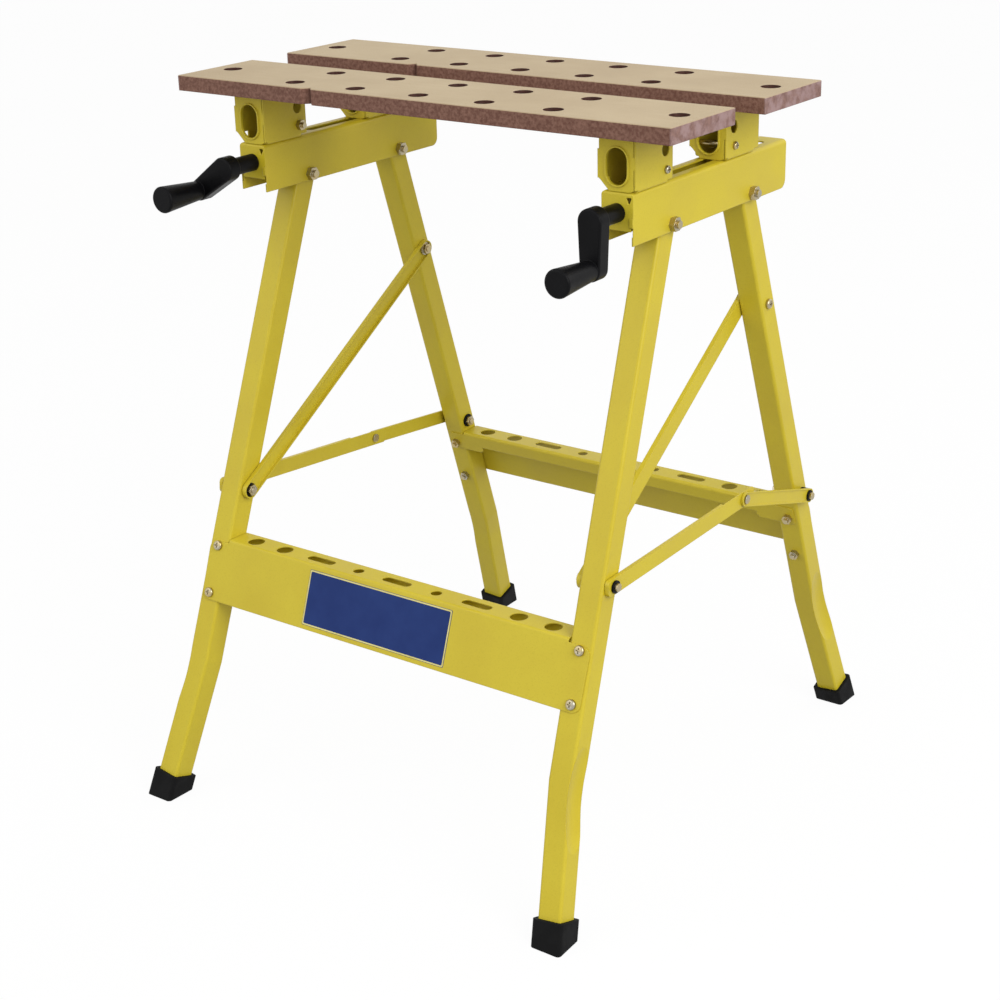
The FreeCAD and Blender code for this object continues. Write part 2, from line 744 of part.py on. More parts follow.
def crank_handle():
    """Right crank: hub, tapered arm and flared grip in one moulding."""
    hub = bar("y", 0, 0, hub_radius, hub_front, hub_front + hub_length)
    lean = math.asin((arm_boss_radius - arm_end_radius) / arm_length)
    across = math.cos(lean)
    rise = math.sin(lean)
    boss = [V(side * arm_boss_radius * across, 0, -arm_boss_radius * rise) for side in (-1, 1)]
    end = [V(side * arm_end_radius * across, 0, -arm_length - arm_end_radius * rise) for side in (-1, 1)]
    edges = [Part.Arc(boss[0], V(0, 0, arm_boss_radius), boss[1]).toShape(),
             Part.makeLine(boss[1], end[1]),
             Part.Arc(end[1], V(0, 0, -arm_length - arm_end_radius), end[0]).toShape(),
             Part.makeLine(end[0], boss[0])]
    face = Part.Face(Part.Wire(edges))
    face.translate(V(0, arm_front, 0))
    arm = face.extrude(V(0, arm_thickness, 0))
    arm = arm.makeFillet(arm_edge, arm.Edges)
    grip = Part.makeCone(grip_end_radius, grip_root_radius, grip_length + arm_thickness / 2,
                         V(0, grip_front, -arm_length), V(0, 1, 0))
    rims = [edge for edge in grip.Edges if edge.BoundBox.YMax < grip_front + tiny]
    grip = grip.makeFillet(grip_edge, rims)
    body = joined([hub, arm, grip])
    bore = bar("y", 0, 0, screw_radius + pin_gap, hub_front + hub_length - screw_head_depth - pin_gap,
               hub_front + hub_length + overrun)
    pin_reach = hub_radius - pin_cover + pin_gap
    pin_hole = bar("x", hub_front + pin_depth, 0, pin_radius + pin_gap, -pin_reach, pin_reach)
    return body.cut([bore, pin_hole])


def crank_pin():
    """Cross pin, moulded into the right crank, that locks it on its screw."""
    half = hub_radius - pin_cover
    return bar("x", hub_front + pin_depth, screw_height, pin_radius, rail_centre - half, rail_centre + half)


def turned_left(shape):
    """Copy for the left axle, turned to the crank's parked angle."""
    copy = moved(shape, -2 * rail_centre, 0, 0)
    copy.rotate(V(-rail_centre, 0, screw_height), V(0, 1, 0), left_crank_turn)
    return copy


# Legs, feet and trays
def leg(frame, cross_holes):
    """Right leg: a bent tube with a crushed outer face at the bend."""
    low = frame.floor - leg_size
    outer = frame.run(low, leg_top, leg_half, leg_corner)
    top_low = -leg_size
    top_view = slab(rectangle(-leg_half, leg_half, top_low, leg_top), [0, 0, leg_top_round, leg_top_round],
                    "x", 0, reach)
    rest_view = box(0, reach, -leg_size, leg_size, low - leg_size, top_low)
    outer = outer.common(frame.stand(joined([top_view, rest_view])))
    outer = outer.cut(box(0, reach, -reach, reach, -reach, foot_sole))
    cavity = frame.run(low - overrun, leg_top + overrun, leg_half - leg_wall, leg_corner - leg_wall)
    dent_radius = (dent_length ** 2 / 4 + dent_depth ** 2) / (2 * dent_depth)
    dent_x = frame.centre(frame.knee) + leg_half - dent_depth + dent_radius
    barrels = [Part.makeTorus(dent_radius - dent_round, dent_round + depth,
                              V(dent_x, 0, frame.knee), V(0, 1, 0)) for depth in (0, leg_wall)]
    dent, wall = [frame.stand(barrel) for barrel in barrels]
    tube = outer.cut(dent).cut(cavity.cut(wall))
    drills = [frame.drill(0, -distance, radius + fit_gap, 0, reach) for distance, radius in cross_holes]
    for place in tray_bolt_places(frame):
        drills.append(frame.stand(bar("y", place[0], place[1], tray_bolt_radius + fit_gap,
                                      -leg_size, leg_size)))
    return tube.cut(drills)


def foot(frame):
    """Right rubber foot: a cap over the end of the leg, flat on the floor."""
    cap = frame.run(frame.floor - leg_size, frame.floor + foot_height, foot_half, foot_round)
    cap = cap.cut(box(0, reach, -reach, reach, -reach, 0))
    core = frame.run(frame.floor - leg_size, frame.floor + foot_height + overrun, leg_half, leg_corner)
    return cap.cut(core.cut(box(0, reach, -reach, reach, -reach, foot_sole)))


def tray_top(frame):
    """Upright z of the fold at the top of a tray's plate."""
    return frame.height_at(frame.plate_side * leg_half, tray_height)


def tray_bolt_places(frame):
    """Upright x and z of the two bolts at the right end of a tray."""
    top = tray_top(frame)
    heights = (top - upper_bolt_drop, top - lower_bolt_drop)
    return [(frame.centre(z), z) for z in heights]


def tray(frame):
    """Folded tray: a tall plate, a level holed top and a short lip with bolted ears."""
    half_sheet = tray_sheet / 2
    plate_y = frame.plate_side * (leg_half + half_sheet)
    lip_y = -plate_y
    top = tray_top(frame)
    lip_top = frame.height_at(-frame.plate_side * leg_half, tray_height)
    inner = frame.centre(top) - leg_half - tray_end_gap
    outer = frame.centre(top) + leg_half - tray_overhang
    path = [(plate_y, top - tray_plate), (plate_y, top), (lip_y, lip_top), (lip_y, lip_top - lip_height)]
    channel = bent_sheet(path, tray_sheet, tray_bend, "x", -inner, inner)
    plate_top = top - tray_bend - tray_sheet
    plate = slab(rectangle(-outer, outer, top - tray_plate, plate_top), tray_corner, "y",
                 plate_y - half_sheet, plate_y + half_sheet)
    shapes = [channel, plate]
    ear_low = lip_top - ear_height
    ear_top = lip_top - tray_bend - tray_sheet
    for side in (-1, 1):
        near = side * (inner - ear_inset)
        far = side * (frame.centre(top) + ear_margin)
        ear = slab(rectangle(min(near, far), max(near, far), ear_low, ear_top), ear_margin / 2, "y",
                   lip_y - half_sheet, lip_y + half_sheet)
        shapes.append(ear)
    body = joined(shapes)
    drills = []
    for x, z in tray_bolt_places(frame):
        for side in (-1, 1):
            drills.append(bar("y", side * x, z, tray_bolt_radius + pin_gap, -leg_size, leg_size))
    body = frame.stand(body.cut(drills))
    middle, _ = frame.place(0, (top + lip_top) / 2)
    middle += frame.plate_side * tray_hole_lead
    holes = []
    low = tray_height - leg_size
    high = tray_height + overrun
    for side in (-1, 1):
        for share in round_hole_shares:
            holes.append(bar("z", side * share * inner, middle, round_hole_radius, low, high))
        for share in small_hole_shares:
            holes.append(bar("z", side * share * inner, middle, small_hole_radius, low, high))
        for share in slot_hole_shares:
            x = side * share * inner
            ends = rectangle(x - slot_hole_length / 2, x + slot_hole_length / 2,
                             middle - slot_hole_width / 2, middle + slot_hole_width / 2)
            holes.append(slab(ends, slot_hole_width / 2, "z", low, high))
    return body.cut(holes)


def tray_bolts(frame):
    """Bolts and nuts that hold a tray on its legs, heads on the tall plate."""
    solids = []
    side = frame.plate_side
    plate_face = leg_half + tray_sheet
    for index, (x, z) in enumerate(tray_bolt_places(frame)):
        nut_face = leg_half + tray_sheet if index == 0 else leg_half
        head = pan_head("y", x, z, pan_radius, plate_face)
        shank = bar("y", x, z, tray_bolt_radius, -nut_face - tray_nut - bolt_tail, plate_face)
        nut = hex_nut("y", x, z, tray_bolt_across, tray_bolt_radius + pin_gap,
                      -nut_face - tray_nut, -nut_face)
        for solid in (joined([head, shank]), nut):
            if side < 0:
                solid = solid.mirror(V(0, 0, 0), V(0, 1, 0))
            solid = frame.stand(solid)
            solids += [solid, mirrored(solid)]
    return solids


# Braces and stays
def strip(length, width, rim, ends, corner, seat, outward):
    """Pressed strip along y from one pivot to the next, with its rim on the outward side."""
    low = min(seat, seat + outward * rim)
    high = max(seat, seat + outward * rim)
    near, far = ends
    points = rectangle(-near, length + far, -width / 2, width / 2)
    inset = strip_sheet
    pocket = rectangle(inset - near, length + far - inset, inset - width / 2, width / 2 - inset)
    body = slab(points, corner, "x", low, high)
    face = seat + outward * strip_sheet
    rim_top = seat + outward * (rim + overrun)
    return body.cut(slab(pocket, corner - inset, "x", min(face, rim_top), max(face, rim_top)))


def inside_radius(width):
    """Radius of a washer that lies clear inside the rim of a strip."""
    return width / 2 - strip_sheet - layer_gap


def laid(shape, start, finish):
    """Lay a strip along the line from one pivot to another."""
    copy = shape.copy()
    angle = math.atan2(finish[1] - start[1], finish[0] - start[0])
    copy.rotate(V(0, 0, 0), V(1, 0, 0), math.degrees(angle))
    copy.translate(V(0, start[0], start[1]))
    return copy


def brace():
    """Right diagonal brace, slanted inward from the front leg to the rear leg."""
    run = math.hypot(brace_high[0] - brace_low[0], brace_high[1] - brace_low[1])
    drop = brace_low_seat - brace_high_seat
    body = strip(math.hypot(run, drop), brace_width, brace_rim, (brace_end, brace_end),
                 (brace_width - strip_end_flat) / 2, 0, -1)
    body.rotate(V(0, 0, 0), V(0, 0, 1), math.degrees(math.atan2(drop, run)))
    body = moved(body, brace_low_seat, 0, 0)
    holes = [bar("x", place, 0, brace_bolt_radius + fit_gap, 0, reach) for place in (0, run)]
    return laid(body.cut(holes), brace_low, brace_high)


def brace_stud():
    """Upper end fastening of the right brace: washer, nut and the end of its bolt."""
    y, z = brace_high
    washer_high = brace_high_seat - strip_sheet - layer_gap
    washer = ring("x", y, z, inside_radius(brace_width), brace_bolt_radius + pin_gap,
                  washer_high - washer_thickness, washer_high)
    nut_low = washer_high - washer_thickness - brace_nut
    nut = hex_nut("x", y, z, brace_bolt_across, brace_bolt_radius + pin_gap, nut_low, nut_low + brace_nut)
    stud = bar("x", y, z, brace_bolt_radius, nut_low - brace_tail, brace_high_seat)
    return [washer, nut, stud]


def brace_bolt():
    """Bolt in the right rear leg that the upper end of the brace turns on."""
    y, z = brace_high
    head_low = brace_leg_out + layer_gap
    shank = bar("x", y, z, brace_bolt_radius, brace_leg_in, head_low)
    return joined([pan_head("x", y, z, pan_radius, head_low), shank])


def stay_arm(side):
    """Long arm of a stay, laid out on the right, with its rim cut back at the knuckle."""
    way = rim_ways[side]
    body = strip(stay_arm_length, stay_width, stay_rim, (stay_end, stay_tail), stay_corner,
                 arm_flats[side], way)
    cut_from = arm_flats[side] + way * strip_sheet
    cut_to = cut_from + way * (stay_rim + overrun)
    cut = box(min(cut_from, cut_to), max(cut_from, cut_to), stay_arm_length - rim_cut_back,
              stay_arm_length + stay_tail + overrun, -stay_width, stay_width)
    holes = [bar("x", 0, 0, brace_bolt_radius + fit_gap, 0, reach),
             bar("x", stay_arm_length, 0, rivet_radius + pin_gap, 0, reach)]
    return laid(body.cut([cut] + holes), brace_low, knuckle(side))


def stay_link(side):
    """Short link of a stay, from the rear leg to the knuckle, laid out on the right."""
    length = link_length(side)
    body = strip(length, link_width, link_rim, (link_end, link_end), (link_width - strip_end_flat) / 2,
                 link_seats[side], 1)
    holes = [bar("x", 0, 0, brace_bolt_radius + fit_gap, 0, reach),
             bar("x", length, 0, rivet_radius + pin_gap, 0, reach)]
    return laid(body.cut(holes), stay_rear, knuckle(side))


def knuckle_tail(side):
    """Half of the knuckle rivet that stays with the arm."""
    y, z = knuckle(side)
    back = arm_faces[side] - strip_sheet
    head = bar("x", y, z, rivet_head_radius, back - rivet_head, back)
    shank = bar("x", y, z, rivet_radius, back, arm_faces[side])
    return joined([head, shank])


def knuckle_head(side):
    """Half of the knuckle rivet that stays with the link."""
    y, z = knuckle(side)
    face = link_faces[side]
    head = bar("x", y, z, rivet_head_radius, face, face + rivet_head)
    shank = bar("x", y, z, rivet_radius, link_seats[side], face)
    return joined([head, shank])


def low_brace_bolt(side):
    """Bolt, nut, washers and spacer where an arm and a brace meet the front leg, laid out on the right."""
    y, z = brace_low
    cap_low = arm_faces[side] + layer_gap
    cap = ring("x", y, z, inside_radius(stay_width), brace_bolt_radius + pin_gap,
               cap_low, cap_low + washer_thickness)
    head_low = cap_low + washer_thickness
    inner_high = brace_low_seat - strip_sheet - layer_gap
    inner_low = inner_high - washer_thickness
    head = bar("x", y, z, cap_head_radius, head_low, head_low + brace_head)
    shank = bar("x", y, z, brace_bolt_radius, inner_low - brace_nut - brace_tail, head_low)
    washer = ring("x", y, z, inside_radius(brace_width), brace_bolt_radius + pin_gap, inner_low, inner_high)
    nut = hex_nut("x", y, z, brace_bolt_across, brace_bolt_radius + pin_gap,
                  inner_low - brace_nut, inner_low)
    spacer = ring("x", y, z, washer_radius, brace_bolt_radius + pin_gap,
                  brace_low_seat + layer_gap, front_leg_in - layer_gap)
    return [joined([head, shank]), nut], [cap, washer, spacer]


def stay_bolt(side):
    """Bolt, nut, washers and spacer where a link meets the rear leg, laid out on the right."""
    y, z = stay_rear
    cap_low = link_faces[side] + layer_gap
    cap = ring("x", y, z, inside_radius(link_width), brace_bolt_radius + pin_gap,
               cap_low, cap_low + washer_thickness)
    head_low = cap_low + washer_thickness
    inner_high = stay_leg_in - layer_gap
    inner_low = inner_high - washer_thickness
    head = bar("x", y, z, cap_head_radius, head_low, head_low + brace_head)
    shank = bar("x", y, z, brace_bolt_radius, inner_low - brace_nut - brace_tail, head_low)
    washer = ring("x", y, z, washer_radius, brace_bolt_radius + pin_gap, inner_low, inner_high)
    nut = hex_nut("x", y, z, brace_bolt_across, brace_bolt_radius + pin_gap,
                  inner_low - brace_nut, inner_low)
    spacer = ring("x", y, z, washer_radius, brace_bolt_radius + pin_gap,
                  stay_leg_out + layer_gap, link_seats[side] - layer_gap)
    return [joined([head, shank]), nut], [cap, washer, spacer]


# All the pieces, by the name of their node
def group(solids):
    """Pieces of one kind, kept as separate solids."""
    return Part.makeCompound(solids)


def both(solids):
    """Pieces of the right side with their partners on the left."""
    return group(solids + [mirrored(solid) for solid in solids])


def build():
    """Every node of the bench, laid out from the front board."""
    nodes = {}
    nodes["right_rail"] = rail()
    nodes["left_rail"] = moved(nodes["right_rail"], -2 * rail_centre, 0, 0)
    for jaw, board_front in (("front", 0), ("rear", rear_board_front)):
        nodes[jaw + "_jaw_board"] = jaw_board(jaw, board_front)
        nodes["left_" + jaw + "_bracket"] = bracket(jaw, -rail_centre)
        nodes["right_" + jaw + "_bracket"] = bracket(jaw, rail_centre)
        nodes[jaw + "_board_screws"] = group(board_screws(jaw))
        nodes[jaw + "_bracket_bolts"] = group(cross_bolts(jaw))
    nodes["front_holding_screws"] = both([holding_screw("front"), holding_nut()])
    nodes["jaw_nut_screws"] = both([holding_screw("rear")])
    nodes["leg_pivot_bolts"] = group(pivot_bolts())
    nodes["pivot_spacers"] = group(pivot_spacers())
    nodes["right_screw_bush"] = screw_bush()
    nodes["left_screw_bush"] = mirrored(nodes["right_screw_bush"])
    nodes["right_jaw_nut"] = jaw_nut()
    nodes["left_jaw_nut"] = mirrored(nodes["right_jaw_nut"])
    nodes["right_lead_screw"] = lead_screw()
    nodes["right_thrust_collar"] = thrust_collar()
    nodes["right_crank_handle"] = moved(crank_handle(), rail_centre, 0, screw_height)
    nodes["right_crank_pin"] = crank_pin()
    for piece in ("lead_screw", "thrust_collar", "crank_handle", "crank_pin"):
        nodes["left_" + piece] = turned_left(nodes["right_" + piece])
    front_holes = [(0, pivot_bolt_radius), (brace_on_front_leg, brace_bolt_radius)]
    rear_holes = [(0, pivot_bolt_radius), (brace_on_rear_leg, brace_bolt_radius),
                  (stay_on_rear_leg, brace_bolt_radius)]
    for name, frame, holes in (("front", front_frame, front_holes), ("rear", rear_frame, rear_holes)):
        nodes["right_" + name + "_leg"] = leg(frame, holes)
        nodes["left_" + name + "_leg"] = mirrored(nodes["right_" + name + "_leg"])
        nodes["right_" + name + "_foot"] = foot(frame)
        nodes["left_" + name + "_foot"] = mirrored(nodes["right_" + name + "_foot"])
        nodes[name + "_tray"] = tray(frame)
        nodes[name + "_tray_bolts"] = group(tray_bolts(frame))
    nodes["right_brace"] = brace()
    nodes["left_brace"] = mirrored(nodes["right_brace"])
    nodes["right_brace_stud"] = group(brace_stud())
    nodes["left_brace_stud"] = mirrored(nodes["right_brace_stud"])
    nodes["upper_brace_bolts"] = both([brace_bolt()])
    for name, fastening in (("lower_brace", low_brace_bolt), ("rear_stay", stay_bolt)):
        bolts, washers = fastening("right")
        left_bolts, left_washers = fastening("left")
        nodes[name + "_bolts"] = group(bolts + [mirrored(solid) for solid in left_bolts])
        nodes[name + "_washers"] = group(washers + [mirrored(solid) for solid in left_washers])
    for side in ("left", "right"):
        pieces = {"stay_arm": stay_arm(side), "stay_link": stay_link(side),
                  "knuckle_tail": knuckle_tail(side), "knuckle_head": knuckle_head(side)}
        for piece, shape in pieces.items():
            nodes[side + "_" + piece] = mirrored(shape) if side == "left" else shape
    return nodes


nodes = build()
os.makedirs("parts", exist_ok=True)
for name, shape in nodes.items():
    shape.translate(V(0, origin_shift, 0))
    shape.exportStep("parts/" + name + ".step")
    print(name, len(shape.Solids), round(shape.Volume), shape.isValid())
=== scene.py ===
# %% [markdown]
# # A folding workbench, dressed around its solid model
# The solid model gives every piece of the bench its true size and place. This lesson keeps those
# pieces, gives each one a finish that can be followed over its surface, and adds the few things
# that are only seen: the threads of the screws and the plate on the tray.

# %% Load the frame
import bmesh
import bpy
import json
import math
from mathutils import Matrix, Vector


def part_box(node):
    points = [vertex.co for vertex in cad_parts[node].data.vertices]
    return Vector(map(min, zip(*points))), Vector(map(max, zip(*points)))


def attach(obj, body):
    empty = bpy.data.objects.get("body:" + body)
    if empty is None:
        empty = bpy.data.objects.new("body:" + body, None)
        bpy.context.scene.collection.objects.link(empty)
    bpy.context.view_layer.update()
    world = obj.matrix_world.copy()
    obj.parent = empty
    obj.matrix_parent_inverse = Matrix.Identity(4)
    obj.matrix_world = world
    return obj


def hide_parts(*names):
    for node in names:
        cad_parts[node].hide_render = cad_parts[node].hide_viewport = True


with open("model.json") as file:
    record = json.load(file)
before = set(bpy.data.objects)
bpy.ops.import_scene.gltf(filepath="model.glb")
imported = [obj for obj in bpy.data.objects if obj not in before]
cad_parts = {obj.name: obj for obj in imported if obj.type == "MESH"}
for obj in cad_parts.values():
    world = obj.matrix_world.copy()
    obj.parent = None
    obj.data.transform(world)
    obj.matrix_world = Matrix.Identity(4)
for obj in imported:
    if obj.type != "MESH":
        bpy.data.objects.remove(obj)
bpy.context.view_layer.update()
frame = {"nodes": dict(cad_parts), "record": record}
nodes = frame["nodes"]

# %% [markdown]
# ## The camera
# The photograph was taken from the front right corner, a little above the boards. Its place and
# direction were found by matching corners of the bench, so they are given as a place, two angles,
# a small roll and a lens. A camera looks along its own minus z, so the three directions become
# the columns of its matrix.

# %% Camera
camera_place = Vector((1.184731, -1.619203, 1.103895))
camera_azimuth = math.radians(36.629)
camera_elevation = math.radians(21.632)
camera_roll = math.radians(-1.47)
camera_lens = 69.39
sensor_width = 36.0

level = Vector((math.cos(camera_azimuth), math.sin(camera_azimuth), 0))
back = Vector((math.sin(camera_azimuth) * math.cos(camera_elevation),
               -math.cos(camera_azimuth) * math.cos(camera_elevation),
               math.sin(camera_elevation)))
upright = back.cross(level)
right = level * math.cos(camera_roll) + upright * math.sin(camera_roll)
up = upright * math.cos(camera_roll) - level * math.sin(camera_roll)
camera_turn = Matrix((right, up, back)).transposed().to_4x4()
camera_data = bpy.data.cameras.new("camera")
camera_data.lens = camera_lens
camera_data.sensor_width = sensor_width
camera = bpy.data.objects.new("camera", camera_data)
camera.matrix_world = Matrix.Translation(camera_place) @ camera_turn
bpy.context.collection.objects.link(camera)
bpy.context.scene.camera = camera
bpy.context.scene.view_settings.view_transform = "Standard"
print("camera at", [round(v, 3) for v in camera_place], "lens", camera_lens)

# %% [markdown]
# ## Node helpers
# A material is a small graph. These helpers add a node, set its values by name and join sockets,
# so that each finish below reads as a list of what it is made of. The sockets of a Mix node share
# their names, so they are known by number. Effects that several finishes share are node groups.

# %% Helpers for nodes
mix_inputs = (0, 6, 7)
mix_output = 2


def add(tree, kind, **values):
    """Add a node, and set properties or named inputs from the values."""
    node = tree.nodes.new(kind)
    for key, value in values.items():
        if hasattr(node, key):
            setattr(node, key, value)
        else:
            node.inputs[key.replace("_", " ").title()].default_value = value
    return node


def join(tree, source, target):
    """Link an output socket to an input socket."""
    tree.links.new(source, target)


def calc(tree, operation, first, second=0.0):
    """Math node on sockets or numbers; gives its output."""
    node = tree.nodes.new("ShaderNodeMath")
    node.operation = operation
    for socket, value in zip(node.inputs, (first, second)):
        if isinstance(value, (int, float)):
            socket.default_value = value
        else:
            join(tree, value, socket)
    return node.outputs[0]


def blend_colours(tree, share, first, second):
    """Mix two colours, each a socket or a tuple, by a share from 0 to 1."""
    node = tree.nodes.new("ShaderNodeMix")
    node.data_type = "RGBA"
    for number, value in zip(mix_inputs, (share, first, second)):
        if isinstance(value, (int, float, tuple)):
            node.inputs[number].default_value = value
        else:
            join(tree, value, node.inputs[number])
    return node.outputs[mix_output]


def spread(tree, value, old_range, new_range):
    """Map a value's range on to another, smoothly and without overshoot."""
    node = tree.nodes.new("ShaderNodeMapRange")
    node.interpolation_type = "SMOOTHSTEP"
    join(tree, value, node.inputs["Value"])
    names = ("From Min", "From Max", "To Min", "To Max")
    for name, number in zip(names, (*old_range, *new_range)):
        node.inputs[name].default_value = number
    return node.outputs["Result"]


print("node helpers ready")


# %% Helpers for groups and materials
def colour(red, green, blue):
    """A colour as it is seen, 0 to 255, turned by the sRGB curve into Blender's light values."""
    linear = []
    for value in (red, green, blue):
        share = value / 255
        linear.append(share / 12.92 if share <= 0.04045 else ((share + 0.055) / 1.055) ** 2.4)
    return (*linear, 1.0)


def new_group(name, inputs, outputs):
    """Start a shader node group with named sockets; gives the tree and its two ends."""
    tree = bpy.data.node_groups.new(name, "ShaderNodeTree")
    for label, kind, default in inputs:
        socket = tree.interface.new_socket(label, in_out="INPUT", socket_type=kind)
        socket.default_value = default
    for label, kind in outputs:
        tree.interface.new_socket(label, in_out="OUTPUT", socket_type=kind)
    return tree, tree.nodes.new("NodeGroupInput"), tree.nodes.new("NodeGroupOutput")


def use_group(tree, group, **values):
    """Place a node group in a material with its own values."""
    node = tree.nodes.new("ShaderNodeGroup")
    node.node_tree = group
    for key, value in values.items():
        node.inputs[key.replace("_", " ").title()].default_value = value
    return node


def new_material(name, metallic=0.0, specular=0.5):
    """Material with one Principled shader; gives the material, its tree and the shader."""
    material = bpy.data.materials.new(name)
    material.use_nodes = True
    tree = material.node_tree
    shader = tree.nodes["Principled BSDF"]
    shader.inputs["Metallic"].default_value = metallic
    shader.inputs["Specular IOR Level"].default_value = specular
    return material, tree, shader


def bump(tree, shader, height, normal, strength, distance):
    """Bump of a height socket, on top of a normal, into the shader."""
    node = tree.nodes.new("ShaderNodeBump")
    node.inputs["Strength"].default_value = strength
    node.inputs["Distance"].default_value = distance
    join(tree, height, node.inputs["Height"])
    join(tree, normal, node.inputs["Normal"])
    join(tree, node.outputs["Normal"], shader.inputs["Normal"])


print("group and material helpers ready")

# %% [markdown]
# ## Shared effects
# Nothing on a used bench is one even colour. Three groups serve the finishes. The first gives a
# slow mottle and a fine grain from noise measured in metres, so its scale is true on every piece.
# The second rounds the sharp edges of the solids for the light and says where an edge is, which is
# where paint thins and where paler edge colours go: painted highlight on paint, plastic and metal.
# The third gives streaks along the bench, for the fibres of the boards. Most of a noise's values
# lie in the middle of its range, so the groups stretch it.

# %% Mottle and grain group
full_range = (0.0, 1.0)
noise_range = (0.3, 0.7)
mottle, ends_in, ends_out = new_group(
    "mottle_and_grain",
    [("Patch Size", "NodeSocketFloat", 0.05), ("Grain Size", "NodeSocketFloat", 0.001)],
    [("Mottle", "NodeSocketFloat"), ("Grain", "NodeSocketFloat")])
place = add(mottle, "ShaderNodeTexCoord")
patches = add(mottle, "ShaderNodeTexNoise", detail=4.0, roughness=0.55)
grains = add(mottle, "ShaderNodeTexNoise", detail=2.0, roughness=0.5)
for noise, size in ((patches, "Patch Size"), (grains, "Grain Size")):
    join(mottle, place.outputs["Object"], noise.inputs["Vector"])
    join(mottle, calc(mottle, "DIVIDE", 1.0, ends_in.outputs[size]), noise.inputs["Scale"])
stretched = spread(mottle, patches.outputs["Fac"], noise_range, full_range)
join(mottle, stretched, ends_out.inputs["Mottle"])
join(mottle, grains.outputs["Fac"], ends_out.inputs["Grain"])
print("group:", mottle.name)

# %% Soft edge group
edge_range = (0.02, 0.25)
soft_edge, ends_in, ends_out = new_group(
    "soft_edge",
    [("Radius", "NodeSocketFloat", 0.001)],
    [("Edge", "NodeSocketFloat"), ("Normal", "NodeSocketVector")])
rounded = add(soft_edge, "ShaderNodeBevel", samples=6)
join(soft_edge, ends_in.outputs["Radius"], rounded.inputs["Radius"])
flat = add(soft_edge, "ShaderNodeNewGeometry")
alike = add(soft_edge, "ShaderNodeVectorMath", operation="DOT_PRODUCT")
join(soft_edge, rounded.outputs["Normal"], alike.inputs[0])
join(soft_edge, flat.outputs["Normal"], alike.inputs[1])
away = calc(soft_edge, "SUBTRACT", 1.0, alike.outputs["Value"])
join(soft_edge, spread(soft_edge, away, edge_range, full_range), ends_out.inputs["Edge"])
join(soft_edge, rounded.outputs["Normal"], ends_out.inputs["Normal"])
print("group:", soft_edge.name)

# %% Streak group
streaks, ends_in, ends_out = new_group(
    "long_streaks",
    [("Length", "NodeSocketFloat", 0.1), ("Width", "NodeSocketFloat", 0.002)],
    [("Streak", "NodeSocketFloat")])
place = add(streaks, "ShaderNodeTexCoord")
parts = add(streaks, "ShaderNodeSeparateXYZ")
join(streaks, place.outputs["Object"], parts.inputs[0])
drawn = add(streaks, "ShaderNodeCombineXYZ")
for axis, size in (("X", "Length"), ("Y", "Width"), ("Z", "Width")):
    measured = calc(streaks, "DIVIDE", parts.outputs[axis], ends_in.outputs[size])
    join(streaks, measured, drawn.inputs[axis])
fibres = add(streaks, "ShaderNodeTexNoise", scale=1.0, detail=5.0, roughness=0.6)
join(streaks, drawn.outputs["Vector"], fibres.inputs["Vector"])
stretched = spread(streaks, fibres.outputs["Fac"], noise_range, full_range)
join(streaks, stretched, ends_out.inputs["Streak"])
print("group:", streaks.name)

# %% Roughness that varies
tone_ranges = {"Mottle": full_range, "Grain": noise_range}


def vary_roughness(tree, shader, tone, follows, roughness):
    """Let the roughness follow the mottle or the grain, from its first value to its second."""
    value = spread(tree, tone.outputs[follows], tone_ranges[follows], roughness)
    join(tree, value, shader.inputs["Roughness"])


print("roughness can follow:", *tone_ranges)

# %% [markdown]
# ## Yellow paint
# The steel of the bench is sprayed with a satin yellow paint. Sprayed paint is a little uneven in
# tone, has a fine orange-peel surface, and is thinner and shows a little wear along folded edges,
# where a paler colour is also painted in as a highlight. So the colour follows the mottle and the
# edge, the roughness follows the mottle, and the grain is a very low bump on the rounded normal.
# The braces and stays are thin pressed strips, so their edges are rounded by less.

# %% Yellow paint
paint_dark = colour(199, 178, 38)
paint_light = colour(206, 187, 48)
paint_dot = colour(184, 163, 32)
# Paler edge colour: partly paint wear, partly a painted highlight along the edges.
paint_worn_and_highlight = colour(222, 208, 96)
dot_range = (0.5, 0.72)
dot_shares = (0.0, 0.3)
worn_and_highlight_share = 0.35
paint_roughness = (0.36, 0.48)
sheet_edge_radius = 0.0011
strip_edge_radius = 0.0005


def sprayed_paint(name, edge_radius):
    """Yellow paint whose edges are rounded by a radius that suits the sheet under it."""
    material, tree, shader = new_material(name, specular=0.35)
    tone = use_group(tree, mottle, patch_size=0.09, grain_size=0.0016)
    edge = use_group(tree, soft_edge, radius=edge_radius)
    even = blend_colours(tree, tone.outputs["Mottle"], paint_dark, paint_light)
    dotted = spread(tree, tone.outputs["Grain"], dot_range, dot_shares)
    even = blend_colours(tree, dotted, even, paint_dot)
    # The edges take the paler colour, partly wear and partly a painted highlight.
    worn_and_highlight = calc(tree, "MULTIPLY", edge.outputs["Edge"], worn_and_highlight_share)
    join(tree, blend_colours(tree, worn_and_highlight, even, paint_worn_and_highlight), shader.inputs["Base Color"])
    vary_roughness(tree, shader, tone, "Mottle", paint_roughness)
    bump(tree, shader, tone.outputs["Grain"], edge.outputs["Normal"],
         strength=0.06, distance=0.0004)
    return material


paint = sprayed_paint("yellow_paint", sheet_edge_radius)
strip_paint = sprayed_paint("yellow_paint_on_strips", strip_edge_radius)
print("materials:", paint.name, strip_paint.name)
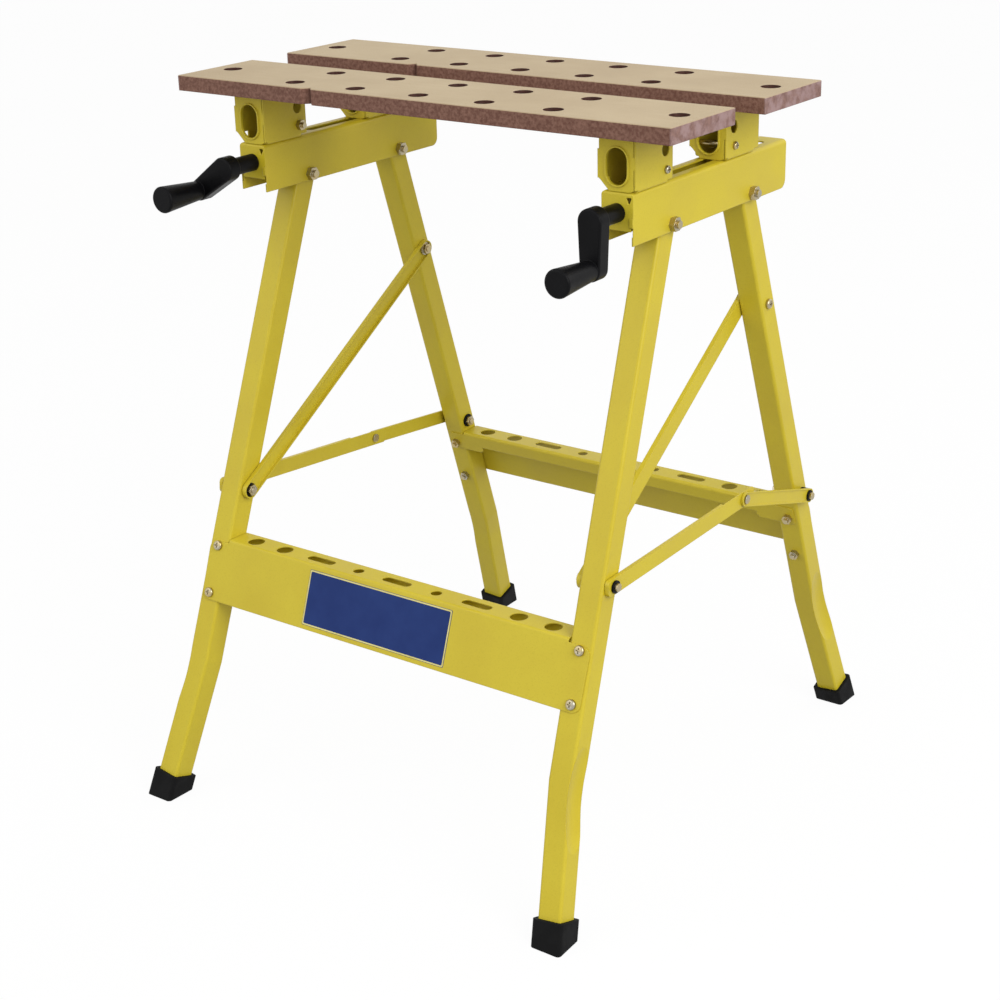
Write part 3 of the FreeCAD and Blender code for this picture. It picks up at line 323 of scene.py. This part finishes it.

# %% [markdown]
# ## Board
# The jaw boards are pressed fibreboard with a tan face. Sawn edges and holes show the darker
# red-brown core, a fine speckle of fibres with no direction. The holes are painted darker still, as
# shade inside them, and the two ends are painted paler grey in patches, as a sheen of light on
# them.
# One material covers the board. The way a surface faces tells the face from the core.
# Where it lies between the board's own edges tells a hole from an edge, and the distance from the
# middle tells the ends.

# %% Where the boards lie
front_low, front_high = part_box("front_jaw_board")
rear_low, rear_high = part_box("rear_jaw_board")
board_boxes = ((front_low, front_high), (rear_low, rear_high))
rows = [(low[1] + high[1]) / 2 for low, high in board_boxes]
rows_middle = (rows[0] + rows[1]) / 2
rows_half = (rows[1] - rows[0]) / 2
board_half = (front_high[1] - front_low[1]) / 2
board_end = front_high[0]
edge_band = 0.009
end_band = 0.002
print("boards at rows", [round(v, 4) for v in rows], "ends at", round(board_end, 4))

# %% Board: tones and directions
board_grain = 0.0012
board, tree, shader = new_material("board", specular=0.3)
tone = use_group(tree, mottle, patch_size=0.12, grain_size=board_grain)
flock = use_group(tree, mottle, patch_size=0.0032, grain_size=board_grain)
end_sheen_tone = use_group(tree, mottle, patch_size=0.012, grain_size=board_grain)
edge = use_group(tree, soft_edge, radius=0.0008)
fibre = use_group(tree, streaks, length=0.06, width=0.0035)
where = add(tree, "ShaderNodeTexCoord")
facing = add(tree, "ShaderNodeSeparateXYZ")
lying = add(tree, "ShaderNodeSeparateXYZ")
join(tree, where.outputs["Normal"], facing.inputs[0])
join(tree, where.outputs["Object"], lying.inputs[0])
print("board tones:", len(tree.nodes), "nodes")

# %% Board: face
face_dark = colour(181, 161, 128)
face_light = colour(193, 174, 140)
face_fibre = colour(174, 152, 119)
face_speck = colour(162, 138, 107)
upward_range = (0.5, 0.8)
fibre_share = 0.3
speck_range = (0.56, 0.7)
speck_shares = (0.0, 0.5)
upward = spread(tree, calc(tree, "ABSOLUTE", facing.outputs["Z"]), upward_range, full_range)
speck = spread(tree, tone.outputs["Grain"], speck_range, speck_shares)
fibred = calc(tree, "MULTIPLY", fibre.outputs["Streak"], fibre_share)
face = blend_colours(tree, tone.outputs["Mottle"], face_dark, face_light)
face = blend_colours(tree, fibred, face, face_fibre)
face = blend_colours(tree, speck, face, face_speck)
print("board face:", len(tree.nodes), "nodes")

# %% Board: core and painted sheen on the ends
core_dark = colour(98, 63, 50)
core_light = colour(130, 94, 79)
core_speck = colour(84, 51, 42)
# Painted sheen colour for the ends of the boards.
core_painted_sheen = colour(158, 131, 129)
end_sheen_shares = (0.25, 0.9)
core = blend_colours(tree, flock.outputs["Mottle"], core_dark, core_light)
core = blend_colours(tree, speck, core, core_speck)
outward = calc(tree, "ABSOLUTE", lying.outputs["X"])
ending = spread(tree, outward, (board_end - end_band, board_end), full_range)
# Both ends are painted paler grey in patches: a painted sheen of light on them.
grey = spread(tree, end_sheen_tone.outputs["Mottle"], full_range, end_sheen_shares)
core = blend_colours(tree, calc(tree, "MULTIPLY", ending, grey), core, core_painted_sheen)
print("board core:", len(tree.nodes), "nodes")

# %% Board: painted shade in the holes
# The holes are painted darker than the core, as shade inside them.
hole_shade_dark = colour(58, 31, 25)
hole_shade_light = colour(76, 44, 36)
hole_range = (board_half - edge_band, board_half - edge_band / 2)
row = calc(tree, "ABSOLUTE", calc(tree, "SUBTRACT", lying.outputs["Y"], rows_middle))
inward = calc(tree, "ABSOLUTE", calc(tree, "SUBTRACT", row, rows_half))
hole_shade_share = spread(tree, inward, hole_range, full_range[::-1])
hole_shade_share = calc(tree, "MULTIPLY", hole_shade_share, calc(tree, "SUBTRACT", 1.0, ending))
# Painted shade: the hole walls take a darker colour than the sawn edges.
hole = blend_colours(tree, flock.outputs["Mottle"], hole_shade_dark, hole_shade_light)
core = blend_colours(tree, hole_shade_share, core, hole)
print("board holes:", len(tree.nodes), "nodes")

# %% Board: finish
board_roughness = (0.52, 0.66)
join(tree, blend_colours(tree, upward, core, face), shader.inputs["Base Color"])
vary_roughness(tree, shader, tone, "Grain", board_roughness)
bump(tree, shader, tone.outputs["Grain"], edge.outputs["Normal"], strength=0.15, distance=0.0004)
print("material:", board.name)

# %% [markdown]
# ## Plastic, rubber and zinc
# The cranks are black moulded plastic with a fine spark-eroded texture and a soft shine. The feet
# are duller rubber that has picked up a little dust. Bolts, nuts, screws and rivets are zinc plated
# with a faint gold passivation that varies from one to the next. All three are built alike, so one
# function makes them, and each cell gives the numbers of its own finish.


# %% Finish with paler edges
def edged_finish(name, metallic, specular, patch, grain, dark, light, mottle_share,
                 edge_radius, edge_colour, edge_share, follows, roughness, strength, distance):
    """Mottled colour with paler edges, a roughness that varies, and a fine grain."""
    material, tree, shader = new_material(name, metallic, specular)
    tone = use_group(tree, mottle, patch_size=patch, grain_size=grain)
    edge = use_group(tree, soft_edge, radius=edge_radius)
    mottled = calc(tree, "MULTIPLY", tone.outputs["Mottle"], mottle_share)
    base = blend_colours(tree, mottled, dark, light)
    paler = calc(tree, "MULTIPLY", edge.outputs["Edge"], edge_share)
    join(tree, blend_colours(tree, paler, base, edge_colour), shader.inputs["Base Color"])
    vary_roughness(tree, shader, tone, follows, roughness)
    bump(tree, shader, tone.outputs["Grain"], edge.outputs["Normal"], strength, distance)
    return material


print("edged finish ready")

# %% Black plastic
# The paler edge colour of the plastic is a painted highlight along its edges.
plastic = edged_finish(
    "black_plastic", metallic=0.0, specular=0.09, patch=0.03, grain=0.0007,
    dark=colour(8, 8, 9), light=colour(13, 13, 15), mottle_share=1.0,
    edge_radius=0.0012, edge_colour=colour(44, 44, 48), edge_share=0.25,
    follows="Mottle", roughness=(0.34, 0.46), strength=0.2, distance=0.0003)
print("material:", plastic.name)

# %% Rubber
rubber = edged_finish(
    "rubber", metallic=0.0, specular=0.12, patch=0.02, grain=0.0009,
    dark=colour(9, 9, 10), light=colour(24, 24, 24), mottle_share=0.35,
    edge_radius=0.0025, edge_colour=colour(46, 46, 45), edge_share=0.3,
    follows="Mottle", roughness=(0.6, 0.78), strength=0.25, distance=0.0004)
print("material:", rubber.name)

# %% Zinc plate
# The pale edge colour of the zinc is a painted highlight along its edges.
zinc = edged_finish(
    "zinc_plate", metallic=1.0, specular=0.5, patch=0.012, grain=0.0006,
    dark=colour(166, 161, 146), light=colour(185, 166, 117), mottle_share=1.0,
    edge_radius=0.0005, edge_colour=colour(214, 210, 198), edge_share=0.5,
    follows="Grain", roughness=(0.2, 0.36), strength=0.12, distance=0.0002)
print("material:", zinc.name)

# %% [markdown]
# ## Dress the nodes
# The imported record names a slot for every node. Each slot becomes one of the finishes above, and
# the braces and stays take the paint for strips. A node keeps its mesh: only its material slot is
# filled.

# %% Finishes on the solid pieces
finishes = {"yellow_paint": paint, "board_wood": board, "black_plastic": plastic,
            "rubber": rubber, "zinc_steel": zinc}
strips = [side + piece for side in ("left", "right")
          for piece in ("_brace", "_stay_arm", "_stay_link")]
for entry in frame["record"]["subparts"]:
    mesh = nodes[entry["node"]].data
    finish = strip_paint if entry["node"] in strips else finishes[entry["material_slot"]]
    mesh.materials.clear()
    mesh.materials.append(finish)

# %% [markdown]
# ## Pieces made in Blender
# A piece made here is a mesh of its own that rides on a body of the frame. This helper turns a
# bmesh into an object, puts its finishes on it and ties it to its body.


# %% Helper for new pieces
def new_piece(name, mesh_work, finish_list, body):
    """Object from a bmesh, with its finishes, tied to a body."""
    mesh = bpy.data.meshes.new(name)
    bmesh.ops.recalc_face_normals(mesh_work, faces=mesh_work.faces)
    mesh_work.to_mesh(mesh)
    mesh_work.free()
    for finish in finish_list:
        mesh.materials.append(finish)
    piece = bpy.data.objects.new(name, mesh)
    bpy.context.collection.objects.link(piece)
    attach(piece, body)
    return piece


print("piece helper ready")

# %% [markdown]
# ## The plate on the front tray
# The front of the tray carries a thin blue plate with a pale border. It is left plain. The largest
# flat face of the tray gives its plane, so the plate lies on the sheet whatever the tray's lean.
# It is a grid of a few rings, so that its edge can be rounded and the border can have its own
# finish.


# %% Plate finishes
def plate_finish(name, specular, patch, dark, light, roughness):
    """Smooth colour with a slow mottle, whose roughness follows a fine grain."""
    material, tree, shader = new_material(name, specular=specular)
    tone = use_group(tree, mottle, patch_size=patch, grain_size=0.0008)
    even = blend_colours(tree, tone.outputs["Mottle"], dark, light)
    join(tree, even, shader.inputs["Base Color"])
    vary_roughness(tree, shader, tone, "Grain", roughness)
    return material


blue = plate_finish("plate_blue", specular=0.1, patch=0.04, dark=colour(30, 50, 106),
                    light=colour(36, 57, 114), roughness=(0.3, 0.42))
cream = plate_finish("plate_border", specular=0.3, patch=0.03, dark=colour(214, 202, 120),
                     light=colour(224, 214, 140), roughness=(0.32, 0.44))
print("materials:", blue.name, cream.name)

# %% Where the plate lies
plate_left = -0.1055
plate_right = 0.0853
plate_height = 0.060
plate_drop = 0.0035
front_limit = -0.8
flat_limit = 0.999
across = Vector((1, 0, 0))

tray_mesh = nodes["front_tray"].data
front_faces = [face for face in tray_mesh.polygons if face.normal.y < front_limit]
tray_front = max(front_faces, key=lambda face: face.area).normal.copy()
flat_points = [tray_mesh.vertices[i].co for face in front_faces
               if face.normal.dot(tray_front) > flat_limit for i in face.vertices]
reach = max(tray_front.dot(point) for point in flat_points)
slope = across.cross(-tray_front)
heights = [slope.dot(point) for point in flat_points]
middle_height = (min(heights) + max(heights)) / 2 - plate_drop
middle_across = (plate_left + plate_right) / 2
plate_middle = across * middle_across + slope * middle_height + tray_front * reach
print("plate around", [round(v, 4) for v in plate_middle])

# %% Plate
plate_thickness = 0.0004
edge_inset = 0.0003
edge_lift_share = 0.6
border_inset = 0.0004
border_width = 0.0015
border_band = 3
plate_corner = 0.0015
corner_steps = 4
ring_table = ((0, 0), (0, edge_lift_share), (edge_inset, 1), (border_inset, 1),
              (border_inset + border_width, 1))


def rounded_ring(half_width, half_height, radius):
    """Points of a rounded rectangle around the origin, in order."""
    points = []
    for quarter, (x_side, y_side) in enumerate(((1, 1), (-1, 1), (-1, -1), (1, -1))):
        for step in range(corner_steps + 1):
            angle = math.pi / 2 * (quarter + step / corner_steps)
            points.append((x_side * (half_width - radius) + radius * math.cos(angle),
                           y_side * (half_height - radius) + radius * math.sin(angle)))
    return points


half_width = (plate_right - plate_left) / 2
half_height = plate_height / 2
work = bmesh.new()
rings = []
for inset, lift in ring_table:
    outline = rounded_ring(half_width - inset, half_height - inset, plate_corner)
    rings.append([work.verts.new(plate_middle + across * x + slope * y
                                 + tray_front * plate_thickness * lift) for x, y in outline])
for band, (outer, inner) in enumerate(zip(rings, rings[1:])):
    for step in range(len(outer)):
        after = (step + 1) % len(outer)
        face = work.faces.new((outer[step], outer[after], inner[after], inner[step]))
        face.material_index = 1 if band == border_band else 0
work.faces.new(rings[-1])
work.faces.new(rings[0][::-1])
new_piece("tray_plate", work, [blue, cream], "front_legs")
print("plate:", round(half_width * 2, 4), "by", plate_height)

# %% [markdown]
# ## Screw threads
# Each crank turns a lead screw that runs inside its rail, and anyone who looks under the boards
# sees its thread. The solid is a plain rod. A helix is easiest as a grid that runs round and along
# the rod, where the radius follows a triangle wave of the distance along less the share of the
# turn: no modifier is needed, and the grid closes on itself.

# %% Lead screws
thread_pitch = 0.004
thread_depth = 0.0011
thread_start = 0.012
thread_runout = 0.004
round_steps = 20
pitch_steps = 6


def threaded_rod(node, body):
    """Threaded rod in the place of a plain one; the stretch in the crank's hub stays plain."""
    low, high = (Vector(corner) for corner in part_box(node))
    centre = (low + high) / 2
    radius = (high.x - low.x) / 2
    count = int((high.y - low.y - thread_start) / thread_pitch * pitch_steps)
    stations = [low.y, low.y + thread_start]
    stations += [low.y + thread_start + (step + 1) * thread_pitch / pitch_steps
                 for step in range(count)]
    work = bmesh.new()
    rings = []
    for y in stations:
        ring = []
        for step in range(round_steps):
            turn = step / round_steps
            phase = (y / thread_pitch - turn) % 1
            cut = thread_depth * abs(2 * phase - 1)
            cut *= min(max((y - low.y - thread_start) / thread_runout, 0), 1)
            angle = 2 * math.pi * turn
            ring.append(work.verts.new((centre.x + (radius - cut) * math.cos(angle), y,
                                        centre.z + (radius - cut) * math.sin(angle))))
        rings.append(ring)
    for first, second in zip(rings, rings[1:]):
        for step in range(round_steps):
            after = (step + 1) % round_steps
            work.faces.new((first[step], first[after], second[after], second[step]))
    work.faces.new(rings[0])
    work.faces.new(rings[-1][::-1])
    rod = new_piece(node + "_thread", work, [zinc], body)
    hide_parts(node)
    return rod


for side in ("left", "right"):
    rod = threaded_rod(side + "_lead_screw", side + "_crank")
    print("thread:", rod.name, len(rod.data.polygons), "faces")

# %% [markdown]
# ## Floor and light
# The bench stands on a plain white floor that runs past the edge of the picture. The floor shows
# white to the camera through Light Path, and keeps a part of the bench's shadow. The sky does the
# same, so that no horizon is seen from low angles. The light is soft: a pale sky all round, a
# large lamp from the front right, a weaker one from the left and one behind, so that the back is
# seen in its own colour too.


# %% Rays that are seen
def seen_directly(tree):
    """1 for rays from the camera, and for those that reach it by way of a mirror or glass."""
    path = add(tree, "ShaderNodeLightPath")
    mirrored = calc(tree, "MAXIMUM", path.outputs["Is Glossy Ray"],
                    path.outputs["Is Transmission Ray"])
    return calc(tree, "MAXIMUM", path.outputs["Is Camera Ray"], mirrored)


print("ray helper ready")

# %% Floor
floor_half = 8.0
floor_corners = ((-1, -1), (1, -1), (1, 1), (-1, 1))
work = bmesh.new()
work.faces.new([work.verts.new((x * floor_half, y * floor_half, 0)) for x, y in floor_corners])
mesh = bpy.data.meshes.new("floor")
work.to_mesh(mesh)
work.free()
floor = bpy.data.objects.new("floor", mesh)
bpy.context.collection.objects.link(floor)
print("floor:", floor_half * 2, "m across")

# %% Floor paper
paper_dark = colour(242, 242, 241)
paper_light = colour(246, 246, 246)
paper_unseen = colour(150, 150, 148)
paper_roughness = 0.9
floor_white_share = 0.945
floor_paper, tree, shader = new_material("floor_paper")
shader.inputs["Roughness"].default_value = paper_roughness
tone = use_group(tree, mottle, patch_size=0.5, grain_size=0.01)
seen = seen_directly(tree)
paper = blend_colours(tree, tone.outputs["Mottle"], paper_dark, paper_light)
join(tree, blend_colours(tree, seen, paper_unseen, paper), shader.inputs["Base Color"])
glow = add(tree, "ShaderNodeEmission")
mix = add(tree, "ShaderNodeMixShader")
join(tree, calc(tree, "MULTIPLY", seen, floor_white_share), mix.inputs[0])
join(tree, shader.outputs[0], mix.inputs[1])
join(tree, glow.outputs[0], mix.inputs[2])
join(tree, mix.outputs[0], tree.nodes["Material Output"].inputs["Surface"])
mesh.materials.append(floor_paper)
print("material:", floor_paper.name)

# %% Sky
sky_strength = 0.66
sky_colour = (1, 1, 1, 1)
world = bpy.data.worlds.new("sky")
bpy.context.scene.world = world
world.use_nodes = True
tree = world.node_tree
background = tree.nodes["Background"]
background.inputs["Color"].default_value = sky_colour
lifted = calc(tree, "MULTIPLY", seen_directly(tree), 1 - sky_strength)
join(tree, calc(tree, "ADD", lifted, sky_strength), background.inputs["Strength"])
print("sky:", sky_strength)

# %% Lamps
key_energy = 70.0
key_size = 2.2
key_place = Vector((2.7, -1.0, 2.1))
fill_energy = 25.0
fill_size = 2.6
fill_place = Vector((-1.4, -2.6, 1.9))
back_energy = 15.0
back_size = 2.6
back_place = Vector((1.3, 2.6, 2.4))
lamp_target = Vector((0, 0, 0.4))
for name, energy, size, place in (("key", key_energy, key_size, key_place),
                                  ("fill", fill_energy, fill_size, fill_place),
                                  ("back", back_energy, back_size, back_place)):
    lamp_data = bpy.data.lights.new(name, "AREA")
    lamp_data.energy = energy
    lamp_data.size = size
    lamp = bpy.data.objects.new(name, lamp_data)
    lamp.location = place
    lamp.rotation_euler = (lamp_target - place).to_track_quat("-Z", "Y").to_euler()
    bpy.context.collection.objects.link(lamp)
print("lamps: key", key_energy, "fill", fill_energy, "back", back_energy)
